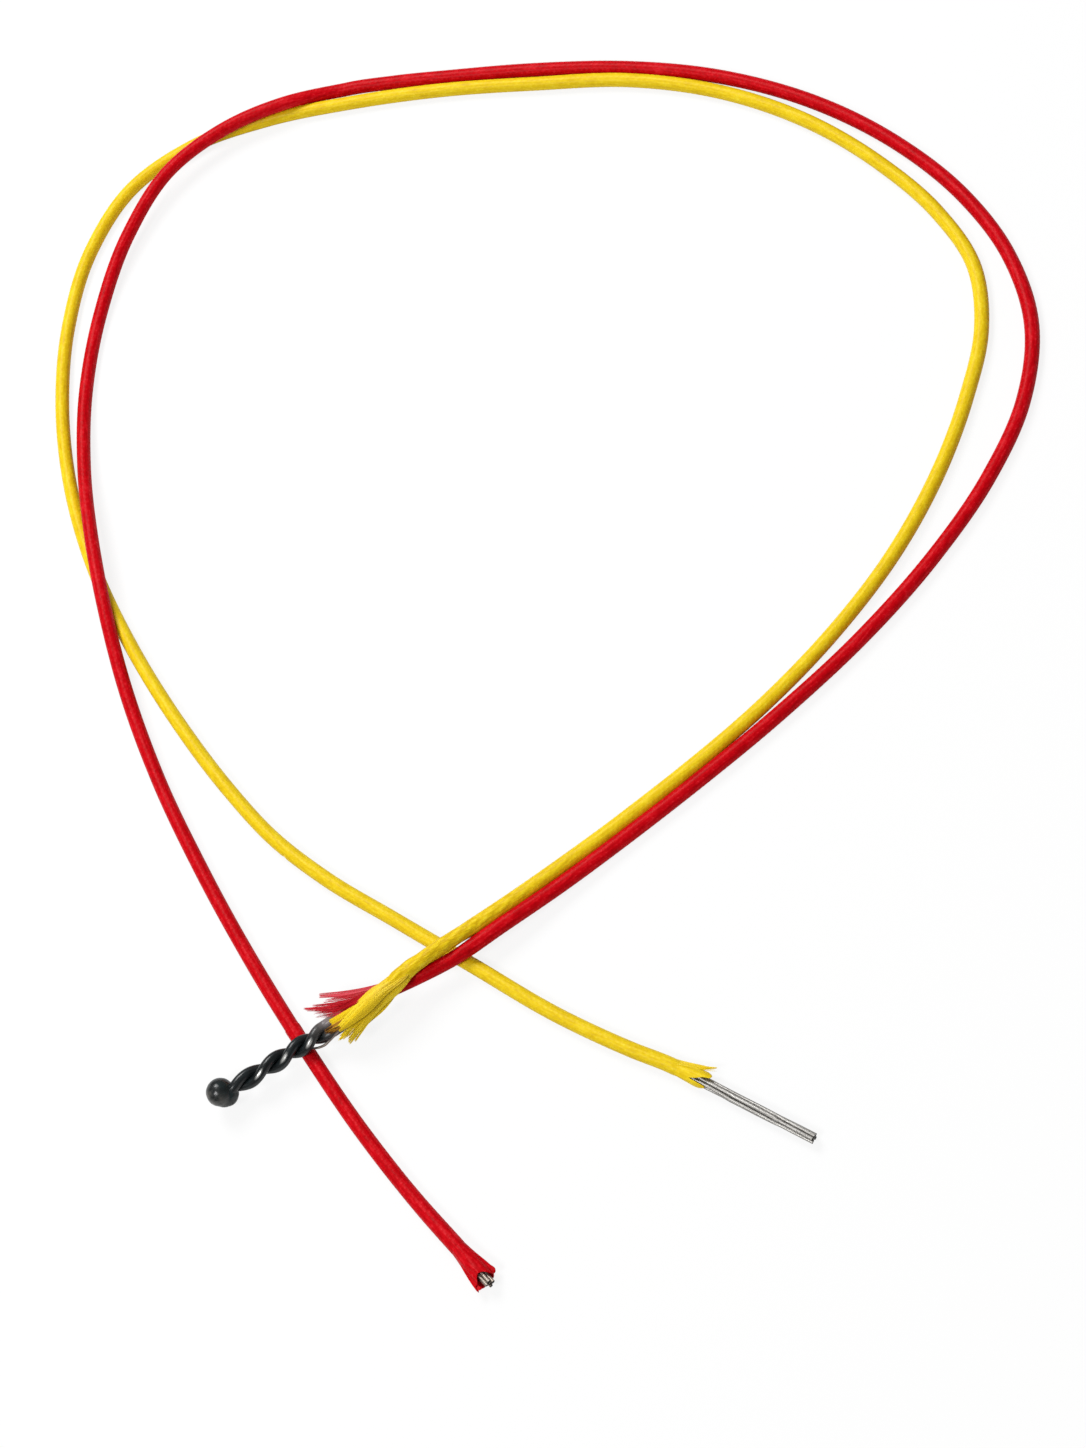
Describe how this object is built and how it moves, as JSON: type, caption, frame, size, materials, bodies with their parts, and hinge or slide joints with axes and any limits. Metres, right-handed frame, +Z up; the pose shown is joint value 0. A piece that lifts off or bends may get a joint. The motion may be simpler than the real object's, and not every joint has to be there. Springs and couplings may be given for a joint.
{
  "type": "kiln thermocouple",
  "caption": "Bare-bead kiln thermocouple: a twisted and welded wire pair with frayed yellow and red glass-braid sleeves, looped to stripped ends.",
  "frame": {"origin": "centre of the welded ball, the sensing point, 2 mm above the bench that the leads lie on", "axes": "+X from the ball along the straight twisted probe towards the leads, +Y across the bench to the side on which the leads loop away, +Z up from the bench"},
  "size_m": [0.1014, 0.1259, 0.0041],
  "materials": {
    "oxidised_wire": "dark oxide with a soft sheen",
    "scorched_wire": "brown scorched wire",
    "yellow_braid": "waxed glass-fibre braid, soft sheen",
    "red_braid": "waxed glass-fibre braid, soft sheen",
    "bright_strand": "drawn wire",
    "dull_strand": "tarnished drawn wire"
  },
  "bodies": {
    "root": {"weld_bead": "oxidised_wire", "positive_leg": "oxidised_wire", "negative_leg": "oxidised_wire", "loose_hot_wire": "scorched_wire", "yellow_sleeve": "yellow_braid", "red_sleeve": "red_braid", "yellow_frayed_end": "yellow_braid", "red_frayed_end": "red_braid", "yellow_split_end": "yellow_braid", "red_flared_end": "red_braid", "positive_strand_1": "bright_strand", "positive_strand_2": "bright_strand", "positive_strand_3": "bright_strand", "positive_strand_4": "bright_strand", "positive_strand_5": "bright_strand", "positive_strand_6": "bright_strand", "positive_strand_7": "bright_strand", "negative_strand_1": "dull_strand", "negative_strand_2": "dull_strand", "negative_strand_3": "dull_strand", "negative_strand_4": "dull_strand", "negative_strand_5": "dull_strand", "negative_strand_6": "dull_strand", "negative_strand_7": "dull_strand"}
  },
  "joints": []
}
